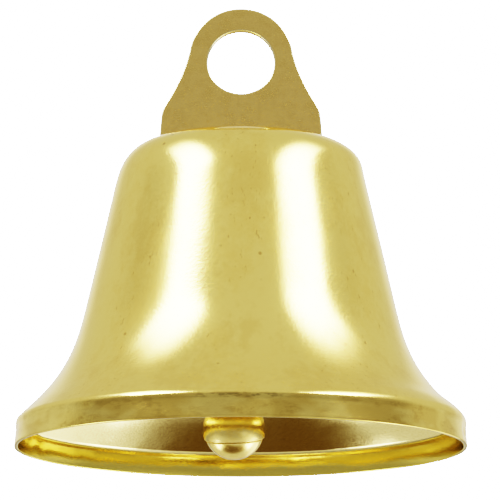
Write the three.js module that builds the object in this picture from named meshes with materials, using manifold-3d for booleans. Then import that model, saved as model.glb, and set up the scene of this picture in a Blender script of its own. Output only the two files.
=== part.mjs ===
// A small hanging bell pressed from sheet brass, 40 mm across the mouth.
// Millimetres, +Z up. Every height below is measured from the plane of the mouth, and the
// finished bell is then moved down, so that the origin is the centre of the hanging eye.
import * as THREE from "three";
import { mergeVertices } from "three/addons/utils/BufferGeometryUtils.js";
import Module from "manifold-3d";

const wasm = await Module();
wasm.setup();

const rad = THREE.MathUtils.degToRad;

// ---- Driving dimensions -------------------------------------------------------------------

const MOUTH_RADIUS = 20;
const SHEET = 0.35; // wall of the pressed shell
const CROWN_HEIGHT = 27.5;
const SHOULDER_RADIUS = 4;
const TAPER = rad(13.1); // of the waist, from the vertical
const WAIST = { radius: 13.35, height: 14 }; // a point on the straight waist
const FLARE_RADIUS = 13;
const FLARE = rad(47); // of the skirt where it meets the lip, from the vertical
const LIP = { radius: 19.88, height: 2.3 }; // where skirt and lip band would meet if sharp
const LIP_ROUND = 1.2; // rounding over that corner
const CREASE = { radius: 19.8, height: 1.6 }; // top of the lip band, tucked in under the rounding

const TAB_THICK = 0.9;
const EYE = { x: 2.95, z: 2.84, height: 34.6 }; // half width and half height of the hanging eye
const TAB_HEAD = { x: 4.63, z: 4.5, height: 34.99 }; // the same of the rounded head
const HEAD_LEAVES = rad(13); // above the horizontal, where the sides leave the head
const TAB_SIDE_PULL = { x: 4.98, height: 33.4 }; // bends the tab's sides in
const TAB_CORNER = { x: 7.05, height: 30.3 };
const TAB_FOOT_X = 7.27;
const NECK_X = 2.15; // half width of the neck that goes through the crown
const NECK_THICK = 0.8; // the neck and tongue are coined thinner, to slip through the slot

const TONGUE_X = 1.35; // half width of the tongue inside the bell
const TONGUE_EYE = { radius: 0.65, height: 24.4 };
const PRONG = { width: 0.6, reach: 2.5 };
const SLOT_GAP = 0.1; // round the neck in the crown's slot
const SEAT_GAP = 0.05; // between pieces that rest on each other

const LINK = { radius: 1.4, wire: 0.3, gap: rad(14) }; // the jump ring, and its open seam
const WIRE = 0.35; // radius of the clapper's wire
const LOOP = { radius: 1.1, start: rad(-50), end: rad(250) };
const WIRE_GAP = 0.06; // between wires that hang in each other

const BALL = { radius: 2.75, height: 1.62, wall: 0.25 };
const SEAM_DROP = 0.97; // the ball's seam is this far below its middle
const CUP_STEP = 0.08; // how far the lower cup stands in from the upper one at the seam
const CUP_GAP = 0.05; // between the two cups, and round the wire
const CUP_LAP = 0.5; // how far the lower cup reaches up inside the upper one
const HEAD = { radius: 0.8, thick: 0.5 }; // peened head that holds the ball on its wire
const LEAN = rad(1.52); // friction in the ring leaves the clapper this far to the left of plumb

// ---- Worked out from them -----------------------------------------------------------------

const UNDER_CROWN = CROWN_HEIGHT - SHEET - SEAT_GAP;
// The ring rests on the lower edges of the tongue's eye, and the loop on the ring.
const eyeFloor = TONGUE_EYE.height - TONGUE_EYE.radius;
const ringRise = Math.sqrt((LINK.radius - LINK.wire) ** 2 - (NECK_THICK / 2) ** 2);
const LINK_HEIGHT = eyeFloor + WIRE_GAP - ringRise;
const SWING_HEIGHT = LINK_HEIGHT + LINK.radius;
const LOOP_HEIGHT = LINK_HEIGHT - LINK.radius + LINK.wire + WIRE_GAP - (LOOP.radius - WIRE);

// ---- Materials ----------------------------------------------------------------------------

function metal(color, roughness) {
  return new THREE.MeshStandardMaterial({ color, roughness, metalness: 1 });
}

const polishedBrass = metal(0xdcc878, 0.22);
const satinBrass = metal(0xb39c50, 0.45);
const ballBrass = metal(0xe0cc88, 0.25);
const plainWire = metal(0xb8ad92, 0.4);

// ---- Helpers ------------------------------------------------------------------------------

function solid(geometry) {
  const bare = geometry.index ? geometry.toNonIndexed() : geometry.clone();
  bare.deleteAttribute("normal");
  bare.deleteAttribute("uv");
  const merged = mergeVertices(bare, 1e-4);
  return new wasm.Manifold(
    new wasm.Mesh({
      numProp: 3,
      vertProperties: new Float32Array(merged.attributes.position.array),
      triVerts: new Uint32Array(merged.index.array),
    }),
  );
}

function geometryOf(manifold) {
  const { vertProperties, triVerts } = manifold.getMesh();
  const geometry = new THREE.BufferGeometry();
  geometry.setAttribute("position", new THREE.BufferAttribute(vertProperties, 3));
  geometry.setIndex(new THREE.BufferAttribute(triVerts, 1));
  geometry.computeVertexNormals();
  return geometry;
}

function mesh(name, geometry, material) {
  const made = new THREE.Mesh(geometry, material);
  made.name = name;
  return made;
}

// Points of an arc in a (radius, height) profile, from one angle above the horizontal to another.
function arc(centre, radius, from, to, steps) {
  const points = [];
  for (let i = 0; i <= steps; i++) {
    const a = from + ((to - from) * i) / steps;
    points.push(new THREE.Vector2(centre.x + radius * Math.cos(a), centre.y + radius * Math.sin(a)));
  }
  return points;
}

// A profile of (radius, height) points turned about the vertical axis.
function turned(profile, segments) {
  return new THREE.LatheGeometry(profile, segments).rotateX(Math.PI / 2);
}

// A round wire along a smooth curve through some points.
function wire(points, radius, steps, sides) {
  const section = new THREE.Shape().absarc(0, 0, radius, 0, 2 * Math.PI);
  return new THREE.ExtrudeGeometry(section, {
    steps,
    extrudePath: new THREE.CatmullRomCurve3(points),
    curveSegments: sides,
    bevelEnabled: false,
  });
}

// A flat (x, height) outline made into a plate that stands in the XZ plane, centred on y = 0.
function plate(outline, thick) {
  return new THREE.ExtrudeGeometry(outline, { depth: thick, bevelEnabled: false, curveSegments: 12 })
    .rotateX(Math.PI / 2)
    .translate(0, thick / 2, 0);
}

// ---- Shell --------------------------------------------------------------------------------

// One face of the sheet: inset is 0 for the outside and SHEET for the inside.
function shellFace(inset) {
  const crown = new THREE.Vector2(0, CROWN_HEIGHT - inset);

  const crownEdge = WAIST.radius + (WAIST.height - CROWN_HEIGHT) * Math.tan(TAPER);
  const shoulderCut = SHOULDER_RADIUS * Math.tan((Math.PI / 2 - TAPER) / 2);
  const shoulderCentre = new THREE.Vector2(crownEdge - shoulderCut, CROWN_HEIGHT - SHOULDER_RADIUS);
  const shoulder = arc(shoulderCentre, SHOULDER_RADIUS - inset, Math.PI / 2, TAPER, 5);

  // The straight waist and the straight end of the skirt meet here, and the flare is tangent to both.
  const height =
    (LIP.radius + LIP.height * Math.tan(FLARE) - WAIST.radius - WAIST.height * Math.tan(TAPER)) /
    (Math.tan(FLARE) - Math.tan(TAPER));
  const radius = WAIST.radius + (WAIST.height - height) * Math.tan(TAPER);
  const flareCut = FLARE_RADIUS * Math.tan((FLARE - TAPER) / 2);
  const flareCentre = new THREE.Vector2(
    radius - flareCut * Math.sin(TAPER) + FLARE_RADIUS * Math.cos(TAPER),
    height + flareCut * Math.cos(TAPER) + FLARE_RADIUS * Math.sin(TAPER),
  );
  const flare = arc(flareCentre, FLARE_RADIUS + inset, Math.PI + TAPER, Math.PI + FLARE, 6);

  const lipCut = LIP_ROUND * Math.tan(FLARE / 2);
  const lipCentre = new THREE.Vector2(LIP.radius - LIP_ROUND, LIP.height - lipCut);
  const lip = arc(lipCentre, LIP_ROUND - inset, FLARE, 0, 3);

  const band = [
    new THREE.Vector2(CREASE.radius - inset, CREASE.height),
    new THREE.Vector2(MOUTH_RADIUS - inset, 0),
  ];
  return [crown, ...shoulder, ...flare, ...lip, ...band];
}

function makeShell() {
  const profile = [...shellFace(0), ...shellFace(SHEET).reverse()];
  const pressed = solid(turned(profile.reverse(), 48));
  const slot = new THREE.BoxGeometry(2 * (NECK_X + SLOT_GAP), NECK_THICK + 2 * SLOT_GAP, 4);
  slot.translate(0, 0, CROWN_HEIGHT);
  return mesh("bell_shell", geometryOf(pressed.subtract(solid(slot))), polishedBrass);
}

// ---- Hanger tab ---------------------------------------------------------------------------

// The part that shows: the round head with its eye, and the feet that stand on the crown.
function tabHead() {
  const seat = CROWN_HEIGHT + SEAT_GAP;
  const leaves = {
    x: TAB_HEAD.x * Math.cos(HEAD_LEAVES),
    height: TAB_HEAD.height + TAB_HEAD.z * Math.sin(HEAD_LEAVES),
  };
  const outline = new THREE.Shape();
  outline.moveTo(TAB_FOOT_X, seat);
  outline.lineTo(TAB_CORNER.x, TAB_CORNER.height);
  outline.quadraticCurveTo(TAB_SIDE_PULL.x, TAB_SIDE_PULL.height, leaves.x, leaves.height);
  outline.absellipse(0, TAB_HEAD.height, TAB_HEAD.x, TAB_HEAD.z, HEAD_LEAVES, Math.PI - HEAD_LEAVES);
  outline.quadraticCurveTo(-TAB_SIDE_PULL.x, TAB_SIDE_PULL.height, -TAB_CORNER.x, TAB_CORNER.height);
  outline.lineTo(-TAB_FOOT_X, seat);
  outline.holes.push(new THREE.Path().absellipse(0, EYE.height, EYE.x, EYE.z, 0, 2 * Math.PI));
  return plate(outline, TAB_THICK);
}

// The part that goes through the slot: the neck, and the tongue with its small eye.
function tongue() {
  const top = CROWN_HEIGHT + SEAT_GAP + TAB_THICK / 2;
  const neckEnd = UNDER_CROWN + SLOT_GAP;
  const outline = new THREE.Shape();
  outline.moveTo(NECK_X, top);
  outline.lineTo(-NECK_X, top);
  outline.lineTo(-NECK_X, neckEnd);
  outline.lineTo(-TONGUE_X, neckEnd);
  outline.absarc(0, TONGUE_EYE.height, TONGUE_X, Math.PI, 2 * Math.PI);
  outline.lineTo(TONGUE_X, neckEnd);
  outline.lineTo(NECK_X, neckEnd);
  outline.holes.push(new THREE.Path().absarc(0, TONGUE_EYE.height, TONGUE_EYE.radius, 0, 2 * Math.PI));
  return plate(outline, NECK_THICK);
}

// The prong at +X. It comes down through the slot and is bent flat under the crown, towards +Y.
// Its side is drawn as (y, height) and then pushed along X.
function prong() {
  const half = NECK_THICK / 2;
  const bend = { y: half + SLOT_GAP, height: UNDER_CROWN + SLOT_GAP };
  const outer = SLOT_GAP + NECK_THICK;
  const side = new THREE.Shape();
  side.moveTo(half, bend.height + half);
  side.lineTo(-half, bend.height + half);
  side.absarc(bend.y, bend.height, outer, Math.PI, 1.5 * Math.PI);
  side.lineTo(PRONG.reach, bend.height - outer);
  side.lineTo(PRONG.reach, bend.height - SLOT_GAP);
  side.absarc(bend.y, bend.height, SLOT_GAP, 1.5 * Math.PI, Math.PI, true);
  return new THREE.ExtrudeGeometry(side, { depth: PRONG.width, bevelEnabled: false, curveSegments: 3 })
    .rotateX(Math.PI / 2)
    .rotateZ(Math.PI / 2)
    .translate(NECK_X - PRONG.width, 0, 0);
}

function makeTab() {
  const right = solid(prong());
  const left = solid(prong().rotateZ(Math.PI));
  const tab = solid(tabHead()).add(solid(tongue())).add(right).add(left);
  return mesh("hanger_tab", geometryOf(tab), satinBrass);
}

// ---- Ring and wire ------------------------------------------------------------------------

// The jump ring lies in the YZ plane, with its seam at the +Y side.
function makeLink() {
  const start = LINK.gap / 2;
  const points = [];
  for (let i = 0; i <= 32; i++) {
    const a = start + ((2 * Math.PI - LINK.gap) * i) / 32;
    points.push(new THREE.Vector3(0, LINK.radius * Math.cos(a), LINK_HEIGHT + LINK.radius * Math.sin(a)));
  }
  return mesh("clapper_link", wire(points, LINK.wire, 24, 4), plainWire);
}

// The clapper's wire lies in the XZ plane: round its loop, through a small reverse bend that
// brings it under the loop's middle, and straight down into the ball.
function makeClapperWire() {
  const points = [];
  for (let i = 0; i <= 24; i++) {
    const a = LOOP.start + ((LOOP.end - LOOP.start) * i) / 24;
    points.push(new THREE.Vector3(LOOP.radius * Math.cos(a), 0, LOOP_HEIGHT + LOOP.radius * Math.sin(a)));
  }
  const bend = (-LOOP.radius * Math.cos(LOOP.end)) / (1 + Math.cos(LOOP.end));
  const centre = {
    x: -bend,
    height: LOOP_HEIGHT + (LOOP.radius + bend) * Math.sin(LOOP.end),
  };
  for (let i = 1; i <= 8; i++) {
    const a = (LOOP.end - Math.PI) * (1 - i / 8);
    points.push(new THREE.Vector3(centre.x + bend * Math.cos(a), 0, centre.height + bend * Math.sin(a)));
  }
  const loop = solid(wire(points, WIRE, 40, 4));
  const underCup = BALL.height + Math.sqrt((BALL.radius - BALL.wall) ** 2 - HEAD.radius ** 2);
  const stemEnd = underCup - CUP_GAP - HEAD.thick / 2;
  const stem = new THREE.CylinderGeometry(WIRE, WIRE, centre.height - stemEnd, 8)
    .rotateX(Math.PI / 2)
    .translate(0, 0, (centre.height + stemEnd) / 2);
  const head = new THREE.CylinderGeometry(HEAD.radius, HEAD.radius, HEAD.thick, 12)
    .rotateX(Math.PI / 2)
    .translate(0, 0, stemEnd);
  return mesh("clapper_wire", geometryOf(loop.add(solid(stem)).add(solid(head))), plainWire);
}

// ---- Ball ---------------------------------------------------------------------------------

// The upper cup has the hole for the wire, and its rim laps over the lower cup.
function makeUpperCup() {
  const centre = new THREE.Vector2(0, BALL.height);
  const inner = BALL.radius - BALL.wall;
  const hole = WIRE + CUP_GAP;
  const ends = (radius) => [-Math.asin(SEAM_DROP / radius), Math.acos(hole / radius)];
  const outside = arc(centre, BALL.radius, ...ends(BALL.radius), 8);
  const inside = arc(centre, inner, ...ends(inner).reverse(), 8);
  const profile = [...outside, ...inside, outside[0]];
  return mesh("clapper_ball_upper", turned(profile, 24), ballBrass);
}

// The lower cup closes the ball from below. Above the seam it is drawn in, to fit inside the
// rim of the upper cup.
function makeLowerCup() {
  const centre = new THREE.Vector2(0, BALL.height);
  const bottom = -Math.PI / 2;
  const down = (drop, radius) => -Math.asin(drop / radius);
  const sphere = BALL.radius - CUP_STEP;
  const neck = BALL.radius - BALL.wall - CUP_GAP;
  const outerStep = SEAM_DROP + CUP_GAP;
  const innerStep = outerStep + BALL.wall;
  const rim = down(SEAM_DROP - CUP_LAP, neck);
  const profile = [
    ...arc(centre, sphere, bottom, down(outerStep, sphere), 5),
    ...arc(centre, neck, down(outerStep, neck), rim, 2),
    ...arc(centre, neck - BALL.wall, rim, down(innerStep, neck - BALL.wall), 2),
    ...arc(centre, sphere - BALL.wall, down(innerStep, sphere - BALL.wall), bottom, 5),
  ];
  return mesh("clapper_ball_lower", turned(profile, 24), ballBrass);
}

// ---- Bell ---------------------------------------------------------------------------------

// The clapper leans about the top of its ring, where the ring rests in the tongue's eye.
const plumb = new THREE.Group();
plumb.add(makeLink(), makeClapperWire(), makeUpperCup(), makeLowerCup());
plumb.position.z = -SWING_HEIGHT;

const clapper = new THREE.Group();
clapper.add(plumb);
clapper.position.z = SWING_HEIGHT;
clapper.rotation.y = LEAN;

const bell = new THREE.Group();
bell.add(makeShell(), makeTab(), clapper);
bell.position.z = -EYE.height;

export default new THREE.Group().add(bell);
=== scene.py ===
"""The looks of a small hanging bell of pressed brass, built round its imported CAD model.

The frame is in metres, +Z up, with its origin at the centre of the hanging eye. The bell's own
sizes below are in millimetres, with heights above the plane of the mouth, until place() turns them
into the frame. Lights and cards are in metres, in the frame.
"""

import math

import bmesh
import bpy
from mathutils import Euler, Matrix, Vector, noise


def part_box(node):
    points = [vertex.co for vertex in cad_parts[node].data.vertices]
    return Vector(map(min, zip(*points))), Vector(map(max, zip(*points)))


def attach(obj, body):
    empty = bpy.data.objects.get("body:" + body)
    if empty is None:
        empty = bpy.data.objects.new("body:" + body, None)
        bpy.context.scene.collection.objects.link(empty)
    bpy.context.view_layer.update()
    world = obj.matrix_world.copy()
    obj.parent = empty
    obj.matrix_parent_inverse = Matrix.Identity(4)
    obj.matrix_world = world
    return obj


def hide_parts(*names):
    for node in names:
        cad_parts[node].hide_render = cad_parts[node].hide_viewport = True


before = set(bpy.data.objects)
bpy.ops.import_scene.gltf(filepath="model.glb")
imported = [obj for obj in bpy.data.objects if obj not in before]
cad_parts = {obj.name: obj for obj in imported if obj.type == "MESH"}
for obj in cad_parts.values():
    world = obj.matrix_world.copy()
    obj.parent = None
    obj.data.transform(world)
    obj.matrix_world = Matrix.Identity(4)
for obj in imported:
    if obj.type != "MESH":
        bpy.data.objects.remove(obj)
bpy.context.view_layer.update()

MM = 0.001
SHELL_LOW, SHELL_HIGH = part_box("bell_shell")
MOUTH_Z = SHELL_LOW.z / MM

# ---- Driving dimensions, in millimetres -----------------------------------------------------

MOUTH_RADIUS = SHELL_HIGH.x / MM
CROWN_HEIGHT = SHELL_HIGH.z / MM - MOUTH_Z
SHEET = 0.35  # wall of the shell
SHOULDER_RADIUS = 4.0
TAPER = math.radians(13.1)  # of the waist, from the vertical
WAIST = (13.35, 14.0)  # radius and height of a point on the straight waist
FLARE_RADIUS = 13.0
FLARE = math.radians(47.0)  # of the skirt where it meets the lip, from the vertical
LIP = (19.88, 2.3)  # where skirt and lip band would meet if sharp
LIP_ROUND = 0.8
CREASE = (19.86, 1.65)  # the band's top, tucked in under the ridge
EDGE_ROUND = 0.12  # of the cut edge at the mouth
SEAT_GAP = 0.05  # between pieces that rest on each other
SLOT_GAP = 0.1  # round the neck in the crown's slot
WIRE_GAP = 0.06  # between wires that hang in each other

TAB_HALF = 0.45  # half its thickness
EYE = (2.95, 2.84)  # half width and half height
EYE_HEIGHT = -MOUTH_Z
TAB_HEAD = (4.63, 4.5)  # half width and half height of the rounded head
TAB_HEAD_HEIGHT = 34.99
HEAD_LEAVES = math.radians(13)  # above the horizontal, where the sides leave the head
TAB_SIDE_PULL = (4.98, 33.4)  # bends the sides in
TAB_CORNER = (7.05, 30.3)
TAB_FOOT_X = 7.27
TAB_SEAT = CROWN_HEIGHT + SEAT_GAP
NECK_X = 2.15  # half its width
NECK_HALF = 0.4  # half the thickness of the neck, tongue and prongs
NECK_END = CROWN_HEIGHT - SHEET - SEAT_GAP + SLOT_GAP
TONGUE_X = 1.35  # half its width
TONGUE_EYE = 0.65
TONGUE_EYE_HEIGHT = 24.4
PRONG_WIDTH = 0.6
PRONG_REACH = 2.5
PRONG_BEND = NECK_HALF + SLOT_GAP  # radius of its bend, at the middle of its thickness
SLOT = (NECK_X + SLOT_GAP, NECK_HALF + SLOT_GAP)  # half length and half width
SLOT_BURR = 0.1

LINK_RADIUS = 1.4
LINK_WIRE = 0.3  # radius of the ring's own wire
LINK_GAP = math.radians(14)  # its open seam
WIRE = 0.35  # radius of the clapper's wire
LOOP_RADIUS = 1.1
LOOP_START = math.radians(-50)
LOOP_END = math.radians(250)
# The ring rests on both edges of the tongue's eye, and the loop rests on the ring.
RING_RISE = math.sqrt((LINK_RADIUS - LINK_WIRE) ** 2 - NECK_HALF ** 2)
LINK_HEIGHT = TONGUE_EYE_HEIGHT - TONGUE_EYE + WIRE_GAP - RING_RISE
LOOP_HEIGHT = LINK_HEIGHT - LINK_RADIUS + LINK_WIRE + WIRE_GAP - (LOOP_RADIUS - WIRE)
SWING_HEIGHT = LINK_HEIGHT + LINK_RADIUS
LEAN = math.radians(1.52)  # of the clapper, to the left of plumb

BALL_RADIUS = 2.75
BALL_HEIGHT = 1.62
BALL_WALL = 0.25
SEAM_DROP = 0.8  # the seam is this far below the ball's middle
SEAM_TURN = (math.radians(16), math.radians(-4))  # of the seam about X and Y, out of square
TURN_HIGH, TURN_LOW = 2.3, 0.7  # above the ball's middle, where that turn begins and is full
CUP_STEP = 0.1  # how far the lower cup stands in from the upper one
RIM_ROUND = 0.09  # of the cups where they meet
SEAM_GAP = 0.01
CUP_GAP = 0.05  # between the cups, and round the wire
CUP_LAP = 0.5  # how far the lower cup reaches up inside the upper one
HEAD_RADIUS = 0.8  # of the wire's peened head, inside the ball
HEAD_THICK = 0.5
# Parts of the head's thickness, and of its radius there.
HEAD_PROFILE = ((0.08, 0.9), (0.2, 1.0), (0.7, 0.98), (0.92, 0.8), (1.0, 0.4))


def place(x, y, height):
    """A point in the frame, in metres, from millimetres and a height above the mouth."""
    return Vector((x, y, height + MOUTH_Z)) * MM


def leaning(x, y, height):
    """The same for the clapper, which leans about the top of its ring."""
    drop = height - SWING_HEIGHT
    lean_x = x * math.cos(LEAN) + drop * math.sin(LEAN)
    lean_z = drop * math.cos(LEAN) - x * math.sin(LEAN)
    return place(lean_x, y, SWING_HEIGHT + lean_z)


# ---- Camera ---------------------------------------------------------------------------------

CAMERA_DISTANCE = 473.7
CAMERA_LOW = math.radians(9.81)  # how far below the horizon the camera looks up from
CAMERA_AIM = (0.8, 17.7)  # x and height of the point it looks at
CAMERA_LENS = 385.15


def make_camera():
    data = bpy.data.cameras.new("camera")
    data.lens = CAMERA_LENS
    data.sensor_width = 36.0
    data.clip_start = 0.01
    data.clip_end = 20.0
    camera = bpy.data.objects.new("camera", data)
    bpy.context.scene.collection.objects.link(camera)
    aim_x, aim_height = CAMERA_AIM
    back = Vector((0.0, -math.cos(CAMERA_LOW), -math.sin(CAMERA_LOW)))
    camera.location = place(aim_x, 0.0, aim_height) + back * CAMERA_DISTANCE * MM
    camera.rotation_mode = "QUATERNION"
    camera.rotation_quaternion = (-back).to_track_quat("-Z", "Y")
    bpy.context.scene.camera = camera


make_camera()

# ---- Light and floor ------------------------------------------------------------------------


class Nodes:
    """Short ways to add and link the nodes of one tree."""

    def __init__(self, tree):
        self.tree = tree

    def add(self, kind):
        return self.tree.nodes.new("ShaderNode" + kind)

    def link(self, source, socket):
        self.tree.links.new(source, socket)

    def split(self, vector):
        """The x, y and z of a vector."""
        node = self.add("SeparateXYZ")
        self.link(vector, node.inputs[0])
        return node.outputs[0], node.outputs[1], node.outputs[2]

    def ramp(self, value, low, high, start=0.0, end=1.0):
        """Smoothly from start to end, as the value goes from low to high."""
        node = self.add("MapRange")
        node.interpolation_type = "SMOOTHSTEP"
        node.inputs["From Min"].default_value = low
        node.inputs["From Max"].default_value = high
        node.inputs["To Min"].default_value = start
        node.inputs["To Max"].default_value = end
        self.link(value, node.inputs["Value"])
        return node.outputs[0]

    def sum(self, *values):
        return self.chain("ADD", values)

    def product(self, *values):
        return self.chain("MULTIPLY", values)

    def chain(self, operation, values):
        total = values[0]
        for value in values[1:]:
            node = self.add("Math")
            node.operation = operation
            for socket, term in zip(node.inputs, (total, value)):
                if isinstance(term, (int, float)):
                    socket.default_value = term
                else:
                    self.link(term, socket)
            total = node.outputs[0]
        return total

    def tint(self, under, over, amount):
        """The colour over laid on the colour under, by an amount from 0 to 1."""
        node = self.add("Mix")
        node.data_type = "RGBA"
        for name, colour in (("A", under), ("B", over)):
            socket = [one for one in node.inputs if one.name == name and one.type == "RGBA"][0]
            if isinstance(colour, tuple):
                socket.default_value = colour
            else:
                self.link(colour, socket)
        self.link(amount, node.inputs["Factor"])
        return [one for one in node.outputs if one.type == "RGBA"][0]


# The high pair of softboxes gives the shell its tall highlights, and the low pair lights the ball.
# Back fade is the part of a softbox's length over which its light fades out at the back.
LOW_BOX = {
    "wide": (1.0, 0.0, 0.0), "long": (0.0, 1.0, 0.0),
    "width": 0.24, "length": 0.22, "radiance": 11.0, "back_fade": 0.3,
}
SOFTBOXES = {
    "softbox_left": {
        "centre": (-0.503, -0.026, 0.632), "wide": (-0.99, -0.06, 0.05), "long": (-0.06, 0.91, 0.41),
        "width": 0.51, "length": 1.1, "radiance": 40.0, "back_fade": 0.98,
    },
    "softbox_right": {
        "centre": (0.545, 0.004, 0.546), "wide": (0.97, 0.07, 0.24), "long": (-0.11, 0.95, 0.28),
        "width": 0.67, "length": 1.04, "radiance": 40.0, "back_fade": 0.98,
    },
    "low_left": {"centre": (-0.265, 0.05, -0.27), **LOW_BOX},
    "low_right": {"centre": (0.265, 0.05, -0.27), **LOW_BOX},
}
SIDE_FADE = 0.36  # part of a softbox's width over which its light fades, at each side
FRONT_FADE = 0.08  # the same of its length, at the front
WORLD_GREY = 0.8
FRONT_DARK = 0.42  # of the world in front, low down
BACK_WHITE = 1.4
BACKGROUND = 30.0  # strength of the plain white that the camera sees
FLOOR_Z = -0.36
FLOOR_GREY = (0.35, 0.35, 0.35, 1)
CARD_Z = -0.3
CARD_HALF = (0.8, 0.8)
CARD_COLOUR = (0.9, 0.88, 0.84, 1)
CARD_DARK_CENTRE = (-0.105, 0.0)
CARD_DARK_HALF = (0.37, 0.15)
CARD_DARK = (0.125, 0.075, 0.022, 1)
CARD_RIGHT = 2.5  # how much brighter its right side is
CARD_FRONT = 0.45  # the same of its front
CARD_SWEEP = 1.6  # brightness added on its right, from under the bell to the back


def make_softbox(name, centre, wide, long, width, length, radiance, back_fade):
    data = bpy.data.lights.new(name, "AREA")
    data.shape = "RECTANGLE"
    data.size = width
    data.size_y = length
    data.energy = radiance * math.pi * width * length
    data.use_nodes = True
    n = Nodes(data.node_tree)
    # Parametric runs across the softbox and along it, from 0 at its front end.
    across, along, _ = n.split(n.add("NewGeometry").outputs["Parametric"])
    at_back = n.chain("POWER", (n.ramp(along, 1.0, 1.0 - back_fade), 3.0))
    strength = n.product(
        n.ramp(across, 0.0, SIDE_FADE), n.ramp(across, 1.0, 1.0 - SIDE_FADE),
        n.ramp(along, 0.0, FRONT_FADE), at_back,
    )
    n.link(strength, n.tree.nodes["Emission"].inputs["Strength"])
    light = bpy.data.objects.new(name, data)
    bpy.context.scene.collection.objects.link(light)
    long_side = Vector(long).normalized()
    out = Vector(wide).cross(long_side).normalized()
    if out.dot(Vector(centre)) < 0:
        out.negate()
    light.location = centre
    light.rotation_mode = "QUATERNION"
    axes = Matrix((long_side.cross(out), long_side, out)).transposed()
    light.rotation_quaternion = axes.to_quaternion()
    light.visible_camera = False


def make_world():
    """Grey all round, darker low in front, white behind the bell, and plain white to the camera.
    Its y and z are those of the direction looked in."""
    world = bpy.data.worlds.new("studio")
    bpy.context.scene.world = world
    world.use_nodes = True
    n = Nodes(world.node_tree)
    _, y, z = n.split(n.add("TexCoord").outputs["Generated"])
    behind = n.ramp(y, 0.74, 0.93)
    low_front = n.product(n.ramp(z, 0.56, 0.34), n.ramp(y, 0.35, -0.1))
    seen = n.sum(
        n.product(behind, BACK_WHITE - WORLD_GREY),
        n.product(low_front, FRONT_DARK - WORLD_GREY), WORLD_GREY,
    )
    strength = n.add("Mix")
    strength.inputs["B"].default_value = BACKGROUND
    n.link(n.add("LightPath").outputs["Is Camera Ray"], strength.inputs["Factor"])
    n.link(seen, strength.inputs["A"])
    n.tree.nodes["Background"].inputs["Color"].default_value = (1, 1, 1, 1)
    n.link(strength.outputs["Result"], n.tree.nodes["Background"].inputs["Strength"])


def flat_card(name, half, z):
    mesh = bpy.data.meshes.new(name)
    x, y = half
    mesh.from_pydata([(-x, -y, 0), (x, -y, 0), (x, y, 0), (-x, y, 0)], [], [(0, 1, 2, 3)])
    card = bpy.data.objects.new(name, mesh)
    card.location = (0, 0, z)
    bpy.context.scene.collection.objects.link(card)
    material = bpy.data.materials.new(name)
    material.use_nodes = True
    mesh.materials.append(material)
    return card


def make_floor():
    floor = flat_card("floor", (4.0, 4.0), FLOOR_Z)
    shader = floor.data.materials[0].node_tree.nodes["Principled BSDF"]
    shader.inputs["Base Color"].default_value = FLOOR_GREY
    shader.inputs["Roughness"].default_value = 0.7


def make_card():
    """A pale card under the bell, with a soft dark patch. Only reflections show it. The left of
    the bell's inside mirrors its right, and the right of the inside its left."""
    card = flat_card("card", CARD_HALF, CARD_Z)
    card.visible_camera = False
    card.visible_shadow = False
    card.visible_diffuse = False
    n = Nodes(card.data.materials[0].node_tree)
    n.tree.nodes.clear()
    x, y, _ = n.split(n.add("TexCoord").outputs["Object"])
    far_x = n.product(n.sum(x, -CARD_DARK_CENTRE[0]), 1 / CARD_DARK_HALF[0])
    far_y = n.product(n.sum(y, -CARD_DARK_CENTRE[1]), 1 / CARD_DARK_HALF[1])
    away = n.chain("POWER", (n.sum(n.product(far_x, far_x), n.product(far_y, far_y)), 0.5))
    emission = n.add("Emission")
    sides = n.product(n.ramp(x, 0.1, 0.5, 1.0, CARD_RIGHT), n.ramp(y, -0.15, -0.42, 1.0, CARD_FRONT))
    sweep = n.product(n.ramp(x, 0.1, 0.26), n.ramp(y, -0.085, -0.04), CARD_SWEEP)
    n.link(n.sum(sides, sweep), emission.inputs["Strength"])
    n.link(n.tint(CARD_DARK, CARD_COLOUR, n.ramp(away, 0.5, 1.0)), emission.inputs["Color"])
    n.link(emission.outputs[0], n.add("OutputMaterial").inputs["Surface"])


for box_name, box in SOFTBOXES.items():
    make_softbox(box_name, **box)
make_world()
make_floor()
make_card()
bpy.context.scene.view_settings.view_transform = "Filmic"
bpy.context.scene.view_settings.look = "High Contrast"

# ---- Materials ------------------------------------------------------------------------------

EDGE_TINT = (1.0, 0.95, 0.75, 1)  # brass stays yellow where it is seen nearly edge on


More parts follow.
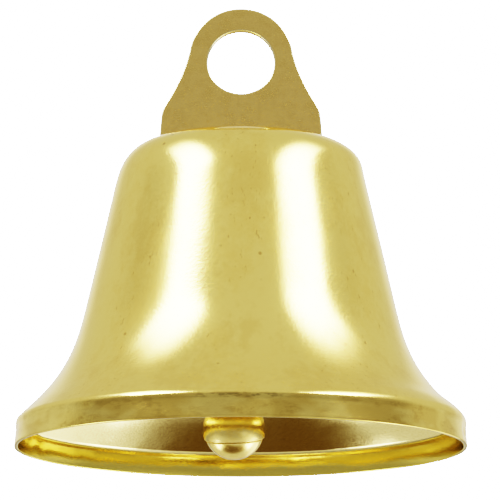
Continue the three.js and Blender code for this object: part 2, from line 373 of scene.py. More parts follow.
class Metal(Nodes):
    """The nodes of one metal's material."""

    def __init__(self, name):
        self.material = bpy.data.materials.new(name)
        self.material.use_nodes = True
        super().__init__(self.material.node_tree)
        self.shader = self.tree.nodes["Principled BSDF"]
        self.shader.inputs["Metallic"].default_value = 1.0
        self.shader.inputs["Specular Tint"].default_value = EDGE_TINT
        self.point = self.add("TexCoord").outputs["Object"]

    def stretched(self, scale):
        """The point in millimetres, scaled by one factor for each axis."""
        node = self.add("VectorMath")
        node.operation = "MULTIPLY"
        node.inputs[1].default_value = [factor / MM for factor in scale]
        self.link(self.point, node.inputs[0])
        return node.outputs["Vector"]

    def noise(self, scale, detail=3.0, rough=0.5):
        """Noise with cells of 1 / scale millimetres along each axis."""
        node = self.add("TexNoise")
        node.inputs["Scale"].default_value = 1.0
        node.inputs["Detail"].default_value = detail
        node.inputs["Roughness"].default_value = rough
        self.link(self.stretched(scale), node.inputs["Vector"])
        return node.outputs["Fac"]

    def spots(self, scale):
        """The distance to the nearest of many scattered points, in cells."""
        node = self.add("TexVoronoi")
        node.inputs["Scale"].default_value = 1.0
        self.link(self.stretched(scale), node.inputs["Vector"])
        return node.outputs["Distance"]

    def height(self):
        """Millimetres above the mouth."""
        return self.sum(self.product(self.split(self.point)[2], 1 / MM), -MOUTH_Z)

    def attribute(self, name):
        """A number that the mesh carries at each of its points."""
        node = self.add("Attribute")
        node.attribute_name = name
        return node.outputs["Fac"]

    def finish(self, colour, roughness, relief):
        """Relief is in millimetres."""
        self.link(colour, self.shader.inputs["Base Color"])
        self.link(roughness, self.shader.inputs["Roughness"])
        bump = self.add("Bump")
        bump.inputs["Strength"].default_value = 1.0
        bump.inputs["Distance"].default_value = MM
        self.link(relief, bump.inputs["Height"])
        self.link(bump.outputs["Normal"], self.shader.inputs["Normal"])
        return self.material


BRASS = (0.87, 0.64, 0.165, 1)
BRASS_WARM = (0.80, 0.555, 0.13, 1)
STAIN = (0.70, 0.47, 0.11, 1)
TARNISH = (0.40, 0.23, 0.05, 1)
BAND_BRASS = (0.66, 0.45, 0.105, 1)
BAND_DARK = (0.47, 0.30, 0.07, 1)
BAND_LIGHT = (0.90, 0.68, 0.19, 1)
INSIDE_BRASS = (0.84, 0.68, 0.26, 1)
INSIDE_DARK = (0.64, 0.47, 0.15, 1)
INSIDE_BAND = (0.82, 0.60, 0.08, 1)
# Dirt specks on the ball, and painted shade in the crease under the shell's ridge.
DIRT_AND_CREASE_SHADE = (0.12, 0.07, 0.025, 1)
TAB_COLOUR = (0.79, 0.54, 0.165, 1)
TAB_WARM = (0.71, 0.475, 0.14, 1)
TAB_GRAIN = (0.63, 0.41, 0.11, 1)
TAB_PITS = (0.7, 0.58, 0.25, 1)
# Painted highlight on the tab's rolled edges, and painted shade on its sheared walls.
TAB_ROLLED_HIGHLIGHT = (0.97, 0.88, 0.52, 1)
TAB_SHEARED_SHADE = (0.36, 0.25, 0.08, 1)
BALL_COLOUR = (0.86, 0.65, 0.2, 1)
BALL_WARM = (0.80, 0.57, 0.15, 1)
WIRE_COLOUR = (0.56, 0.47, 0.25, 1)
WIRE_DULL = (0.36, 0.28, 0.14, 1)


def make_shell_brass():
    """Bright rolled brass: smudged, speckled, faintly scratched, and warmer towards the lip. The
    band below the ridge is duller, in patches, with painted shade in the crease under it at the front."""
    n = Metal("bell_brass")
    height = n.height()
    inside = n.attribute("inside")
    outside = n.sum(1.0, n.product(inside, -1.0))
    smudge = n.noise((0.16, 0.16, 0.1), 4.0, 0.6)
    mottle = n.noise((1.3, 1.3, 1.3), 4.0, 0.65)
    grain = n.noise((7.0, 7.0, 7.0), 2.0, 0.6)
    sand = n.noise((3.4, 3.4, 3.4), 2.0, 0.7)
    streaks = n.noise((0.5, 0.5, 9.0), 2.0)

    uneven = n.ramp(n.sum(n.product(smudge, 0.7), n.product(mottle, 0.3)), 0.42, 0.64)
    low_down = n.ramp(height, 9.0, 3.0, 0.0, 0.4)
    colour = n.tint(BRASS, BRASS_WARM, n.sum(n.product(uneven, 0.9), low_down))
    colour = n.tint(colour, INSIDE_BRASS, inside)
    stains = n.ramp(n.noise((0.2, 0.2, 0.13), 5.0, 0.7), 0.5, 0.64, 0.0, 0.5)
    colour = n.tint(colour, STAIN, n.product(stains, outside))
    flecks = n.ramp(n.noise((2.5, 2.5, 0.7), 3.0, 0.7), 0.62, 0.70)
    colour = n.tint(colour, TARNISH, n.product(flecks, n.ramp(smudge, 0.42, 0.58), outside, 0.6))

    band = n.product(n.ramp(height, 2.2, 1.9), outside)
    patches = n.ramp(n.noise((0.24, 0.24, 0.2), 3.0), 0.44, 0.58, 1.0, -0.1)
    colour = n.tint(colour, BAND_BRASS, n.product(band, patches))
    # Darker and lighter patches on the band.
    darker_patches = n.ramp(n.noise((0.42, 0.42, 0.9), 4.0, 0.65), 0.5, 0.64)
    colour = n.tint(colour, BAND_DARK, n.product(band, darker_patches, 0.6))
    lighter_patches = n.ramp(n.noise((0.2, 0.2, 0.5), 2.0), 0.52, 0.36)
    colour = n.tint(colour, BAND_LIGHT, n.product(band, lighter_patches, 0.6))

    # Painted shade: a broken dark line in the crease under the ridge, darkest at the front middle.
    x, y, _ = n.split(n.point)
    front = n.ramp(y, 0.0, -15 * MM, 0.3, 1.0)
    middle = n.product(n.ramp(n.product(x, x), (5 * MM) ** 2, 0.0, 0.25, 1.0), front)
    crease = n.product(n.ramp(height, 1.6, 1.8), n.ramp(height, 2.3, 2.0), outside, middle)
    broken = n.ramp(n.noise((0.9, 0.9, 3.0), 4.0, 0.7), 0.46, 0.6)
    colour = n.tint(colour, DIRT_AND_CREASE_SHADE, n.product(crease, n.sum(n.product(broken, 0.5), 0.05)))

    lonely = n.ramp(n.noise((0.3, 0.3, 0.3), 2.0), 0.53, 0.6)
    specks = n.product(n.ramp(n.spots((0.5, 0.5, 0.5)), 0.12, 0.04), lonely)
    colour = n.tint(colour, TARNISH, n.product(specks, 0.7))
    dust = n.product(n.ramp(n.noise((4.0, 4.0, 4.0), 2.0), 0.66, 0.74), n.ramp(smudge, 0.45, 0.6))
    colour = n.tint(colour, TARNISH, n.product(dust, 0.3))
    colour = n.tint(colour, INSIDE_DARK, n.product(n.ramp(grain, 0.45, 0.7), inside, 0.6))
    colour = n.tint(colour, INSIDE_BAND, n.product(n.ramp(height, 1.8, 1.4), inside, 0.7))

    polish = n.ramp(smudge, 0.35, 0.65, 0.10, 0.15)
    roughness = n.sum(polish, n.product(mottle, 0.03), n.product(streaks, 0.02))
    scratches = n.product(n.ramp(n.noise((0.2, 0.2, 12.0), 1.0), 0.68, 0.74), outside)
    relief = n.sum(
        n.product(streaks, 0.0004), n.product(mottle, 0.0012), n.product(specks, -0.006),
        n.product(scratches, -0.0006), n.product(grain, 0.002), n.product(sand, 0.006),
    )
    return n.finish(colour, roughness, relief)


def make_tab_brass():
    """Satin sheet brass: fine even grain and mottling, with a painted highlight on its rolled
    edges, and rougher where they are sheared, with painted shade on those walls."""
    n = Metal("tab_brass")
    grain = n.noise((14.0, 14.0, 14.0), 3.0, 0.7)
    mottle = n.noise((1.1, 1.1, 1.1), 5.0, 0.65)
    lines = n.noise((0.6, 6.0, 12.0), 2.0)
    edge = n.attribute("edge")
    colour = n.tint(TAB_COLOUR, TAB_WARM, n.ramp(mottle, 0.4, 0.64))
    colour = n.tint(colour, TAB_GRAIN, n.product(n.ramp(grain, 0.5, 0.72), 0.6))
    pits = n.ramp(n.spots((1.1, 1.1, 1.1)), 0.12, 0.04)
    colour = n.tint(colour, TAB_PITS, n.product(pits, n.ramp(mottle, 0.5, 0.6), 0.6))
    # Painted highlight on the rolled edges.
    colour = n.tint(colour, TAB_ROLLED_HIGHLIGHT, n.ramp(edge, 0.0, 0.9))
    # Painted shade on the sheared walls, which are also rougher.
    sheared = n.ramp(edge, 0.0, -1.0)
    colour = n.tint(colour, TAB_SHEARED_SHADE, sheared)
    rolled = n.ramp(edge, 0.0, 1.0)
    roughness = n.sum(
        0.22, n.product(mottle, 0.06), n.product(lines, 0.03),
        n.product(rolled, -0.08), n.product(sheared, 0.25),
    )
    relief = n.sum(n.product(grain, 0.0035), n.product(lines, 0.0015), n.product(mottle, 0.004))
    return n.finish(colour, roughness, relief)


def make_ball_brass():
    """Bright brass, with dirt along the seam and small handling marks."""
    n = Metal("ball_brass")
    mottle = n.noise((1.4, 1.4, 1.4), 4.0, 0.65)
    fine = n.noise((5.0, 5.0, 5.0), 3.0, 0.6)
    seam = n.attribute("seam")
    colour = n.tint(BALL_COLOUR, BALL_WARM, n.ramp(mottle, 0.4, 0.64))
    colour = n.tint(colour, TARNISH, n.product(seam, n.ramp(fine, 0.3, 0.6, 0.1, 0.4)))
    specks = n.product(n.ramp(n.spots((1.2, 1.2, 1.2)), 0.16, 0.05), n.ramp(mottle, 0.5, 0.56))
    colour = n.tint(colour, DIRT_AND_CREASE_SHADE, n.product(specks, 0.5))
    polish = n.ramp(mottle, 0.35, 0.65, 0.17, 0.25)
    roughness = n.sum(polish, n.product(seam, 0.1), n.product(fine, 0.04))
    relief = n.sum(n.product(mottle, 0.006), n.product(fine, 0.0008), n.product(specks, -0.006))
    return n.finish(colour, roughness, relief)


def make_wire_metal():
    """Dull drawn wire, with draw lines and darker patches."""
    n = Metal("clapper_wire_metal")
    mottle = n.noise((2.2, 2.2, 2.2), 4.0, 0.65)
    lines = n.noise((9.0, 9.0, 1.2), 2.0)
    colour = n.tint(WIRE_COLOUR, WIRE_DULL, n.ramp(mottle, 0.4, 0.66))
    roughness = n.sum(n.ramp(mottle, 0.35, 0.65, 0.3, 0.42), n.product(lines, 0.08))
    relief = n.sum(n.product(lines, 0.004), n.product(mottle, 0.004))
    return n.finish(colour, roughness, relief)


SHELL_BRASS = make_shell_brass()
TAB_BRASS = make_tab_brass()
BALL_BRASS = make_ball_brass()
WIRE_METAL = make_wire_metal()

# ---- Mesh helpers ---------------------------------------------------------------------------


def arc(centre, radius, start, end, steps):
    """Points (r, height) on an arc, from one angle above the horizontal to another."""
    points = []
    for i in range(steps + 1):
        a = start + (end - start) * i / steps
        points.append((centre[0] + radius * math.cos(a), centre[1] + radius * math.sin(a)))
    return points


def between(start, end, steps):
    """The points inside a straight stretch."""
    points = []
    for i in range(1, steps):
        t = i / steps
        points.append((start[0] + (end[0] - start[0]) * t, start[1] + (end[1] - start[1]) * t))
    return points


def smooth(t):
    """From 0 to 1 as t does, level at both ends."""
    return t * t * (3 - 2 * t)


def near(value, middle, reach):
    """1 where the value is at the middle, falling softly towards 0 beyond its reach."""
    return math.exp(-(((value - middle) / reach) ** 2))


def toward(start, end, distance):
    """The point at a distance from start, on the way to end."""
    whole = math.dist(start, end)
    t = distance / whole
    return (start[0] + (end[0] - start[0]) * t, start[1] + (end[1] - start[1]) * t)


def ring(r, height, count):
    """A horizontal circle of points about the axis."""
    points = []
    for i in range(count):
        a = 2 * math.pi * i / count
        points.append((r * math.cos(a), r * math.sin(a), height))
    return points


def skin(loops, around, put=place, marks=None):
    """A mesh over a row of loops of points, in millimetres. A loop of one point is a tip. Around
    says that the last loop meets the first. Marks gives each loop's value of named attributes."""
    bm = bmesh.new()
    layers = {}
    for name in marks or {}:
        layers[name] = bm.verts.layers.float.new(name)
    rows = []
    for i, loop in enumerate(loops):
        row = [bm.verts.new(put(*point)) for point in loop]
        for name, layer in layers.items():
            for vert in row:
                vert[layer] = marks[name][i]
        rows.append(row)
    pairs = list(zip(rows, rows[1:]))
    if around:
        pairs.append((rows[-1], rows[0]))
    for low, high in pairs:
        count = max(len(low), len(high))
        for i in range(count):
            j = (i + 1) % count
            corners = [low[i % len(low)], low[j % len(low)], high[j % len(high)], high[i % len(high)]]
            bm.faces.new(list(dict.fromkeys(corners)))
    return bm


def mesh_of(name, bm):
    bmesh.ops.recalc_face_normals(bm, faces=bm.faces)
    mesh = bpy.data.meshes.new(name)
    bm.to_mesh(mesh)
    bm.free()
    for polygon in mesh.polygons:
        polygon.use_smooth = True
    return mesh


def finish_piece(name, mesh, body, material, slot, *nodes):
    """The mesh becomes a piece that rides on its body and stands for CAD nodes."""
    mesh.materials.clear()
    mesh.materials.append(material)
    piece = bpy.data.objects.new(name, mesh)
    bpy.context.scene.collection.objects.link(piece)
    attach(piece, body)
    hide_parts(*nodes)
    return piece


def joined(name, meshes):
    """One mesh from several closed ones that run into each other."""
    made = []
    for mesh in meshes:
        solid = bpy.data.objects.new(mesh.name, mesh)
        bpy.context.scene.collection.objects.link(solid)
        made.append(solid)
    for solid in made[1:]:
        union = made[0].modifiers.new(solid.name, "BOOLEAN")
        union.operation = "UNION"
        union.solver = "EXACT"
        union.object = solid
    graph = bpy.context.evaluated_depsgraph_get()
    whole = bpy.data.meshes.new_from_object(made[0].evaluated_get(graph))
    whole.name = name
    for solid in made:
        bpy.data.objects.remove(solid)
    whole.set_sharp_from_angle(angle=math.radians(50))
    return whole


# ---- Shell ----------------------------------------------------------------------------------

SEGMENTS = 288
WAVY = 0.035  # how far the whole shell is out of round
LIP_WAVY = 0.038
MOUTH_WAVY = 0.05
LIP_TUCK = 0.04  # keeps the waves at the lip inside the round of the CAD shell
FULL_SHOULDER = (0.32, 26.0)  # how far the right shoulder stands out, and at what height
RAISED_RIDGE = (0.28, 2.9)  # how far the ridge is lifted on the right, and from what height
PROFILE_STEPS = 150
DENTS = (  # angle about the axis in degrees, height, depth, half width
    (-11.0, 0.9, 0.1, 0.5),
    (-68.0, 4.6, 0.03, 1.0),
    (-115.0, 2.0, 0.06, 0.9),
    (-84.0, 1.9, 0.05, 0.6),
    (40.0, 5.2, 0.05, 1.2),
    (160.0, 1.6, 0.07, 0.8),
)


def right_side(angle):
    """1 on the bell's right side, where the shoulder is fuller and the ridge higher, and 0 on
    its left."""
    return max(0.0, math.cos(angle)) ** 2


def dented(r, angle, height):
    """How far the sheet is pushed out at a point, in millimetres: it is never quite round, and
    it is knocked along the lip and skirt."""
    around = Vector((math.cos(angle), math.sin(angle), 0)) * r
    where = around + Vector((0, 0, height))
    push = WAVY * noise.noise(where * 0.09) + 0.008 * noise.noise(where * 0.3)
    lip_waves = LIP_WAVY * noise.noise(around * 0.5) + 0.016 * noise.noise(around * 1.4)
    push += near(height, 2.0, 1.0) * lip_waves
    push += near(height, 0.0, 0.9) * MOUTH_WAVY * noise.noise(around * 0.22 + Vector((0, 0, 7)))
    push -= near(height, 1.0, 2.2) * LIP_TUCK
    push += near(height, FULL_SHOULDER[1], 1.3) * FULL_SHOULDER[0] * right_side(angle)
    for dent_angle, dent_height, depth, half in DENTS:
        turn = (angle - math.radians(dent_angle) + math.pi) % (2 * math.pi) - math.pi
        push -= depth * near(math.hypot(turn * r, height - dent_height), 0.0, half)
    return push


def slot_loop(grow, height, count):
    """A loop round the slot in the crown: a rectangle with round ends, grown on all sides."""
    half, end = SLOT[0] - SLOT[1], SLOT[1] + grow
    points = []
    for x, y, _ in ring(1.0, 0, count):
        a = math.atan2(y, x)
        spread = math.copysign(abs(math.cos(a)) ** 1.6, math.cos(a))
        across = math.copysign(abs(math.sin(a)) ** 0.55, math.sin(a))
        points.append((half * spread + end * math.cos(a) * abs(spread), end * across, height))
    return points


def crown_loops(inset):
    """One face of the crown, from the edge of its slot out to a circle."""
    top = CROWN_HEIGHT - inset
    burr = SLOT_BURR if inset == 0 else -0.02
    loops = []
    for grow, lift in ((0.0, 0.7), (0.03, 1.0), (0.08, 0.8), (0.16, 0.35), (0.28, 0.08), (0.42, 0.0)):
        loops.append(slot_loop(grow, top + burr * lift, SEGMENTS))
    last = loops[-1]
    for t in (0.15, 0.35, 0.6, 0.85):
        circle = ring(3.6, top, SEGMENTS)
        loops.append([tuple(a + (b - a) * t for a, b in zip(*pair)) for pair in zip(last, circle)])
    return loops


def shell_face(inset):
    """One face of the sheet, from the flat of the crown down to the mouth."""
    crown_edge = WAIST[0] + (WAIST[1] - CROWN_HEIGHT) * math.tan(TAPER)
    shoulder_cut = SHOULDER_RADIUS * math.tan((math.pi / 2 - TAPER) / 2)
    shoulder_centre = (crown_edge - shoulder_cut, CROWN_HEIGHT - SHOULDER_RADIUS)
    crown = [(shoulder_centre[0] * i / 16, CROWN_HEIGHT - inset) for i in range(9, 16)]
    shoulder = arc(shoulder_centre, SHOULDER_RADIUS - inset, math.pi / 2, TAPER, 36)

    slopes = math.tan(FLARE) - math.tan(TAPER)
    height = (LIP[0] + LIP[1] * math.tan(FLARE) - WAIST[0] - WAIST[1] * math.tan(TAPER)) / slopes
    radius = WAIST[0] + (WAIST[1] - height) * math.tan(TAPER)
    flare_cut = FLARE_RADIUS * math.tan((FLARE - TAPER) / 2)
    flare_centre = (
        radius - flare_cut * math.sin(TAPER) + FLARE_RADIUS * math.cos(TAPER),
        height + flare_cut * math.cos(TAPER) + FLARE_RADIUS * math.sin(TAPER),
    )
    flare = arc(flare_centre, FLARE_RADIUS + inset, math.pi + TAPER, math.pi + FLARE, 40)

    lip_cut = LIP_ROUND * math.tan(FLARE / 2)
    lip_centre = (LIP[0] - LIP_ROUND, LIP[1] - lip_cut)
    lip = arc(lip_centre, LIP_ROUND - inset, FLARE, 0, 14)

    waist = between(shoulder[-1], flare[0], 36)
    skirt = between(flare[-1], lip[0], 16)
    return relaxed(crown + shoulder + waist + flare + skirt) + lip + band_face(lip[-1], inset)


def relaxed(points):
    """The same curve, measured out evenly and averaged over a short reach, so that its bends
    come on slowly, as they do in drawn sheet. The reach is up to 17 steps, longest towards the
    lip, and comes down to nothing at the two ends."""
    count = PROFILE_STEPS
    steps = [0.0]
    for a, b in zip(points, points[1:]):
        steps.append(steps[-1] + math.dist(a, b))
    even_points = []
    k = 0
    for i in range(count + 1):
        at = steps[-1] * i / count
        while k < len(points) - 2 and steps[k + 1] < at:
            k += 1
        even_points.append(toward(points[k], points[k + 1], at - steps[k]))
    curve = []
    for i in range(count + 1):
        reach = ((i + 0.5) ** -2 + (count - i + 0.5) ** -2 + (8 + i / 10) ** -2) ** -0.5
        span = min(int(reach), i, count - i)
        total, r_sum, height_sum = 0.0, 0.0, 0.0
        for j in range(i - span, i + span + 1):
            weight = 1 + math.cos(math.pi * (j - i) / (reach + 1))
            total += weight
            r_sum += weight * even_points[j][0]
            height_sum += weight * even_points[j][1]
        curve.append((r_sum / total, height_sum / total))
    return curve


def band_face(start, inset):
    """The lip band: in to the crease under the ridge, and down to the mouth. Its outside runs
    straight out, and its inside is upright at first and then opens."""
    points = []
    crease = (CREASE[0] - inset, CREASE[1])
    for i in range(1, 9):
        t = i / 8
        r = start[0] + (crease[0] - start[0]) * smooth(t)
        points.append((r, start[1] + (crease[1] - start[1]) * t))
    end = (MOUTH_RADIUS - inset, EDGE_ROUND)
    for i in range(1, 13):
        t = i / 12
        spread = t if inset == 0 else t ** 2
        r = crease[0] + (end[0] - crease[0]) * spread
        points.append((r, crease[1] + (end[1] - crease[1]) * t))
    return points


def make_shell():
    outside = shell_face(0)
    inside = shell_face(SHEET)
    outer_turn = (MOUTH_RADIUS - EDGE_ROUND, EDGE_ROUND)
    inner_turn = (MOUTH_RADIUS - SHEET + EDGE_ROUND, EDGE_ROUND)
    outer_edge = arc(outer_turn, EDGE_ROUND, 0, -math.pi / 2, 5)
    inner_edge = arc(inner_turn, EDGE_ROUND, -math.pi / 2, -math.pi, 5)
    front = outside + outer_edge[1:]
    back = inner_edge[:-1] + inside[::-1]
    loops = crown_loops(0)
    loops += [ring(r, height, SEGMENTS) for r, height in front + back]
    loops += crown_loops(SHEET)[::-1]
    crown_count = len(crown_loops(0))
    inner = [0.0] * (crown_count + len(front)) + [1.0] * (len(back) + crown_count)

    def pushed(x, y, height):
        r = math.hypot(x, y)
        if r < SLOT[0] + 1:
            return place(x, y, height)
        angle = math.atan2(y, x)
        scale = 1 + dented(r, angle, height) / r
        lift = near(height, RAISED_RIDGE[1], 1.0) * RAISED_RIDGE[0] * right_side(angle)
        return place(x * scale, y * scale, height + lift)

    mesh = mesh_of("shell", skin(loops, True, pushed, {"inside": inner}))
    return finish_piece("shell", mesh, "bell", SHELL_BRASS, "bell_brass", "bell_shell")


make_shell()

# ---- Hanger tab -----------------------------------------------------------------------------

TAB_POINTS = 320
TONGUE_POINTS = 160
CORNER_CUT = 0.7  # how far from the tab's corners their rounding starts
FOOT_CUT = 0.12  # the same at its foot
TAB_ROLL, TONGUE_ROLL = 0.11, 0.07  # size of their rolled edges
TAB_WAVE = 0.012  # how far the tab is out of flat


def bend(start, pull, end, steps):
    """Points on a curve from start to end, drawn towards pull."""
    points = []
    for i in range(steps + 1):
        t = i / steps
        a, b, c = (1 - t) ** 2, 2 * t * (1 - t), t * t
        points.append(tuple(a * p + b * q + c * r for p, q, r in zip(start, pull, end)))
    return points


def even(points, count):
    """A closed outline measured out again into evenly spaced points."""
    closed = points + points[:1]
    steps = [math.dist(a, b) for a, b in zip(closed, closed[1:])]
    gap = sum(steps) / count
    made, walked, i = [], 0.0, 0
    for k in range(count):
        while walked + steps[i] < k * gap:
            walked += steps[i]
            i += 1
        made.append(toward(closed[i], closed[i + 1], k * gap - walked) if steps[i] else closed[i])
    return made


def tab_outline():
    """The edge of the tab above the crown, as (x, height) points from under the eye to +X and
    on round."""
    foot = (TAB_FOOT_X, TAB_SEAT)
    leaves = (
        TAB_HEAD[0] * math.cos(HEAD_LEAVES),
        TAB_HEAD_HEIGHT + TAB_HEAD[1] * math.sin(HEAD_LEAVES),
    )
    half = [(0.0, TAB_SEAT)]
    half += bend(toward(foot, (0, TAB_SEAT), FOOT_CUT), foot, toward(foot, TAB_CORNER, FOOT_CUT), 6)
    side = bend(TAB_CORNER, TAB_SIDE_PULL, leaves, 40)
    half += bend(toward(TAB_CORNER, foot, CORNER_CUT), TAB_CORNER, side[4], 10)
    half += side[5:]
    for i in range(1, 41):
        a = HEAD_LEAVES + (math.pi / 2 - HEAD_LEAVES) * i / 40
        half.append((TAB_HEAD[0] * math.cos(a), TAB_HEAD_HEIGHT + TAB_HEAD[1] * math.sin(a)))
    return even(half + [(-x, height) for x, height in half[-2:0:-1]], TAB_POINTS)


def shrunk(outline, distance):
    """A closed outline that runs anticlockwise, moved in by a distance."""
    count = len(outline)
    points = []
    for i, (x, height) in enumerate(outline):
        before, after = outline[i - 1], outline[(i + 1) % count]
        dx, dh = after[0] - before[0], after[1] - before[1]
        length = math.hypot(dx, dh)
        points.append((x - dh / length * distance, height + dx / length * distance))
    return points


def plate(name, outline, hole, hole_height, half, roll, wave=0.0):
    """A punched plate that stands in the XZ plane. The punch leaves its front edges rolled
    and its back edges sharp. The mark on an edge is above 0 on the rolled edges, where a
    highlight is painted, and below 0 on the sheared walls, where shade is painted."""
    angles = [math.atan2(height - hole_height, x) for x, height in outline]

    def hole_loop(grow):
        wide, high = hole[0] + grow, hole[1] + grow
        return [(wide * math.cos(a), hole_height + high * math.sin(a)) for a in angles]

    # How far in from the edge, how far in from the plate's face, both in rolls, and the mark.
    rolled_edge = (
        (0.0, 1.6, -0.6), (0.12, 0.75, 0.6), (0.4, 0.25, 1.0), (1.0, 0.02, 0.35), (1.5, 0.0, 0.0),
    )
    sharp_edge = ((1.0, 0.0, 0.0), (0.25, 0.0, 0.4), (0.06, 0.08, 0.5), (0.0, 0.3, -0.6))
    rolled = [(roll * inset, -half + roll * depth, mark) for inset, depth, mark in rolled_edge]
    sharp = [(roll * inset, half - roll * depth, mark) for inset, depth, mark in sharp_edge]
    loops, marks = [], []

    def add(points, y, mark):
        loops.append([(x, y, height) for x, height in points])
        marks.append(mark)

    def across(y):
        outer, inner = shrunk(outline, 1.6 * roll), hole_loop(1.6 * roll)
        rows = []
        for t in (0.15, 0.3, 0.45, 0.6, 0.75, 0.9):
            rows.append([tuple(a + (b - a) * t for a, b in zip(*pair)) for pair in zip(outer, inner)])
        return rows if y < 0 else rows[::-1]

    for inset, y, mark in rolled:
        add(shrunk(outline, inset), y, mark)
    for row in across(-half):
        add(row, -half, 0.0)
    for inset, y, mark in rolled[::-1]:
        add(hole_loop(inset), y, mark)
    add(hole_loop(0.0), 0.0, -1.0)
    for inset, y, mark in sharp[::-1]:
        add(hole_loop(inset), y, mark)
    for row in across(half):
        add(row, half, 0.0)
    for inset, y, mark in sharp:
        add(shrunk(outline, inset), y, mark)
    add(outline, 0.0, -1.0)

    def waved(x, y, height):
        return place(x, y + wave * noise.noise(Vector((x, 0, height)) * 0.35), height)

    return mesh_of(name, skin(loops, True, waved, {"edge": marks}))


def box_bar(name, path, across, half_wide, half_thick, cut=0.06):
    """A bar with a rectangular section and broken corners along a path of (y, height) points,
    pushed out to x = across."""
    loops = []
    corner = [
        (half_wide - cut, half_thick), (half_wide, half_thick - cut), (half_wide, cut - half_thick),
        (half_wide - cut, -half_thick), (cut - half_wide, -half_thick), (-half_wide, cut - half_thick),
        (-half_wide, half_thick - cut), (cut - half_wide, half_thick),
    ]
    for i, (y, height) in enumerate(path):
        before, after = path[max(i - 1, 0)], path[min(i + 1, len(path) - 1)]
        dy, dh = after[0] - before[0], after[1] - before[1]
        length = math.hypot(dy, dh)
        out_y, out_height = -dh / length, dy / length
        loops.append([
            (across + wide, y + out_y * thick, height + out_height * thick) for wide, thick in corner
        ])
    first = [(across, path[0][0], path[0][1])]
    last = [(across, path[-1][0], path[-1][1])]
    rows = [first] + loops + [last]
    return mesh_of(name, skin(rows, False, place, {"edge": [0.0] * len(rows)}))


def prong(side):
    """The prong on one side comes down through the slot and is bent flat under the crown: on the
    +X side to +Y, and on the -X side to -Y."""
    lay_height = NECK_END - PRONG_BEND
    path = [(0.0, NECK_END + 0.6), (0.0, NECK_END + 0.3), (0.0, NECK_END)]
    path += arc((PRONG_BEND, NECK_END), PRONG_BEND, math.pi, 1.5 * math.pi, 8)[1:]
    path += [(PRONG_REACH - 0.06, lay_height), (PRONG_REACH, lay_height)]
    turned_path = [(side * y, height) for y, height in path]
    across = side * (NECK_X - PRONG_WIDTH / 2)
    return box_bar("prong", turned_path, across, PRONG_WIDTH / 2, NECK_HALF)


def tongue_outline():
    """The tongue inside the bell: straight sides and a round end below its eye."""
    points = arc((0, TONGUE_EYE_HEIGHT), TONGUE_X, -math.pi / 2, 0, 24)
    points += [(TONGUE_X, NECK_END + 0.3)]
    return even(points + [(-x, height) for x, height in points[:0:-1]], TONGUE_POINTS)


def make_tab():
    neck_path = [(0.0, NECK_END), (0.0, TAB_SEAT), (0.0, TAB_SEAT + 0.4)]
    solids = [
        plate("head", tab_outline(), EYE, EYE_HEIGHT, TAB_HALF, TAB_ROLL, TAB_WAVE),
        plate("tongue", tongue_outline(), (TONGUE_EYE,) * 2, TONGUE_EYE_HEIGHT, NECK_HALF, TONGUE_ROLL),
        box_bar("neck", neck_path, 0.0, NECK_X, NECK_HALF),
        prong(1),
        prong(-1),
    ]
    mesh = joined("tab", solids)
    return finish_piece("tab", mesh, "bell", TAB_BRASS, "tab_brass", "hanger_tab")


make_tab()

# ---- Ring and wire --------------------------------------------------------------------------


def rod(path, radii, sides=24):
    """Loops round a bent rod. The path stays in a vertical plane, and may have its own radius at
    each point."""
    loops = []
    side = (path[-1] - path[0]).cross(path[len(path) // 3] - path[0]).normalized()
    for i, (point, radius) in enumerate(zip(path, radii)):
        ahead = (path[min(i + 1, len(path) - 1)] - path[max(i - 1, 0)]).normalized()
        out = ahead.cross(side)
        loop = []
        for k in range(sides):
            a = 2 * math.pi * k / sides
            loop.append(tuple(point + side * radius * math.cos(a) + out * radius * math.sin(a)))
        loops.append(loop)
    return [[tuple(path[0])]] + loops + [[tuple(path[-1])]]


def cut_ends(radii, radius):
    """Draws the ends of a rod in a little, as a cutter leaves them."""
    for i, part in enumerate((0.8, 0.95)):
        radii[i] = radius * part
        radii[-1 - i] = radius * part
    return radii


def make_link():
    """A jump ring of round wire in the YZ plane, with its seam at the +Y side."""
    start = LINK_GAP / 2
    path = []
    for i in range(97):
        a = start + (2 * math.pi - LINK_GAP) * i / 96
        path.append(Vector((0, LINK_RADIUS * math.cos(a), LINK_HEIGHT + LINK_RADIUS * math.sin(a))))
    radii = cut_ends([LINK_WIRE] * len(path), LINK_WIRE)
    mesh = mesh_of("link", skin(rod(path, radii), False, leaning))
    return finish_piece("link", mesh, "link", WIRE_METAL, "clapper_wire_metal", "clapper_link")


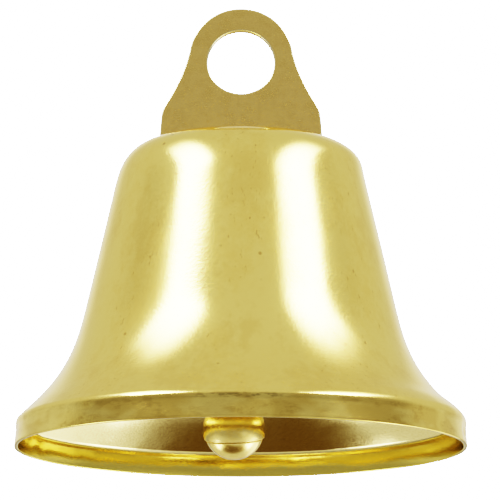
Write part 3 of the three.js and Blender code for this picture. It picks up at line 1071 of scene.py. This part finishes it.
def make_wire():
    """Wire round its loop, through a small reverse bend, and down to its peened head."""
    path = []
    for i in range(81):
        a = LOOP_START + (LOOP_END - LOOP_START) * i / 80
        path.append(Vector((LOOP_RADIUS * math.cos(a), 0, LOOP_HEIGHT + LOOP_RADIUS * math.sin(a))))
    turn = -LOOP_RADIUS * math.cos(LOOP_END) / (1 + math.cos(LOOP_END))
    centre_height = LOOP_HEIGHT + (LOOP_RADIUS + turn) * math.sin(LOOP_END)
    for i in range(1, 17):
        a = (LOOP_END - math.pi) * (1 - i / 16)
        path.append(Vector((-turn + turn * math.cos(a), 0, centre_height + turn * math.sin(a))))
    head_top = BALL_HEIGHT + math.sqrt((BALL_RADIUS - BALL_WALL) ** 2 - HEAD_RADIUS ** 2) - CUP_GAP
    for i in range(1, 25):
        path.append(Vector((0, 0, centre_height + (head_top + 0.1 - centre_height) * i / 24)))
    radii = cut_ends([WIRE] * len(path), WIRE)
    radii[-2:] = [WIRE, WIRE]  # its lower end is the head's
    path.append(Vector((0, 0, head_top - 0.04 * HEAD_THICK)))
    radii.append(WIRE)
    for drop, wide in HEAD_PROFILE:
        path.append(Vector((0, 0, head_top - drop * HEAD_THICK)))
        radii.append(wide * HEAD_RADIUS)
    mesh = mesh_of("wire", skin(rod(path, radii), False, leaning))
    mesh.set_sharp_from_angle(angle=math.radians(60))
    return finish_piece("wire", mesh, "clapper", WIRE_METAL, "clapper_wire_metal", "clapper_wire")


make_link()
make_wire()

# ---- Ball -----------------------------------------------------------------------------------

BALL_SEGMENTS = 144


def cup(name, profile, marks, node):
    """A cup of the ball: its profile is swept about the wire, and away from the wire's hole it is
    then turned out of square, about the middle of the ball."""
    loops = [ring(r, height, BALL_SEGMENTS) if r > 1e-6 else [(0, 0, height)] for r, height in profile]

    def tilted(x, y, height):
        ease = smooth(min(max((TURN_HIGH - height) / (TURN_HIGH - TURN_LOW), 0.0), 1.0))
        dent = 1 + 0.006 * noise.noise(Vector((x, y, height)) * 0.6)
        point = Vector((x * dent, y * dent, height))
        point.rotate(Euler((SEAM_TURN[0] * ease, SEAM_TURN[1] * ease, 0)))
        return leaning(point.x, point.y, BALL_HEIGHT + point.z)

    around = profile[0][0] > 1e-6
    mesh = mesh_of(name, skin(loops, around, tilted, {"seam": marks}))
    return finish_piece(name, mesh, "clapper", BALL_BRASS, "ball_brass", node)


def make_upper_cup():
    """It has the hole for the wire, and its rim laps over the lower cup."""
    inner = BALL_RADIUS - BALL_WALL
    hole = WIRE + CUP_GAP
    rim = -math.asin(SEAM_DROP / BALL_RADIUS)
    rim_inner = -math.asin(SEAM_DROP / inner)
    outside = arc((0, 0), BALL_RADIUS, math.acos(hole / BALL_RADIUS), rim + RIM_ROUND / BALL_RADIUS, 48)
    turn = (outside[-1][0] - RIM_ROUND, -SEAM_DROP + RIM_ROUND)
    corner = arc(turn, RIM_ROUND, -0.2, -math.pi / 2, 7)
    lip = [(turn[0] - 0.01, -SEAM_DROP), (inner + 0.01, -SEAM_DROP + 0.04)]
    inside = arc((0, 0), inner, rim_inner + 0.03, math.acos(hole / inner), 32)
    profile = outside + corner + lip + inside
    marks = [near(height, -SEAM_DROP, 0.1) for _, height in profile]
    return cup("ball_upper", profile, marks, "clapper_ball_upper")


def make_lower_cup():
    """It closes the ball from below, and is drawn in above the seam to fit inside the rim."""
    sphere = BALL_RADIUS - CUP_STEP
    neck = BALL_RADIUS - BALL_WALL - CUP_GAP
    step = SEAM_DROP + SEAM_GAP
    outside = arc((0, 0), sphere, -math.pi / 2, -math.asin((step + RIM_ROUND) / sphere), 32)
    outside[0] = (0.0, -sphere)
    outside += arc((outside[-1][0] - RIM_ROUND, -step - RIM_ROUND), RIM_ROUND, 0.1, math.pi / 2, 6)
    collar = arc((0, 0), neck, -math.asin(step / neck), -math.asin((SEAM_DROP - CUP_LAP) / neck), 8)
    collar_inner = arc(
        (0, 0), neck - BALL_WALL, -math.asin((SEAM_DROP - CUP_LAP) / (neck - BALL_WALL)),
        -math.asin((step + BALL_WALL) / (neck - BALL_WALL)), 8,
    )
    inner = sphere - BALL_WALL
    inside = arc((0, 0), inner, -math.asin((step + BALL_WALL) / inner) - 0.05, -math.pi / 2, 24)
    inside[-1] = (0.0, -inner)
    profile = outside + collar + collar_inner + inside
    marks = [near(height, -SEAM_DROP, 0.12) for _, height in profile]
    return cup("ball_lower", profile, marks, "clapper_ball_lower")


make_upper_cup()
make_lower_cup()
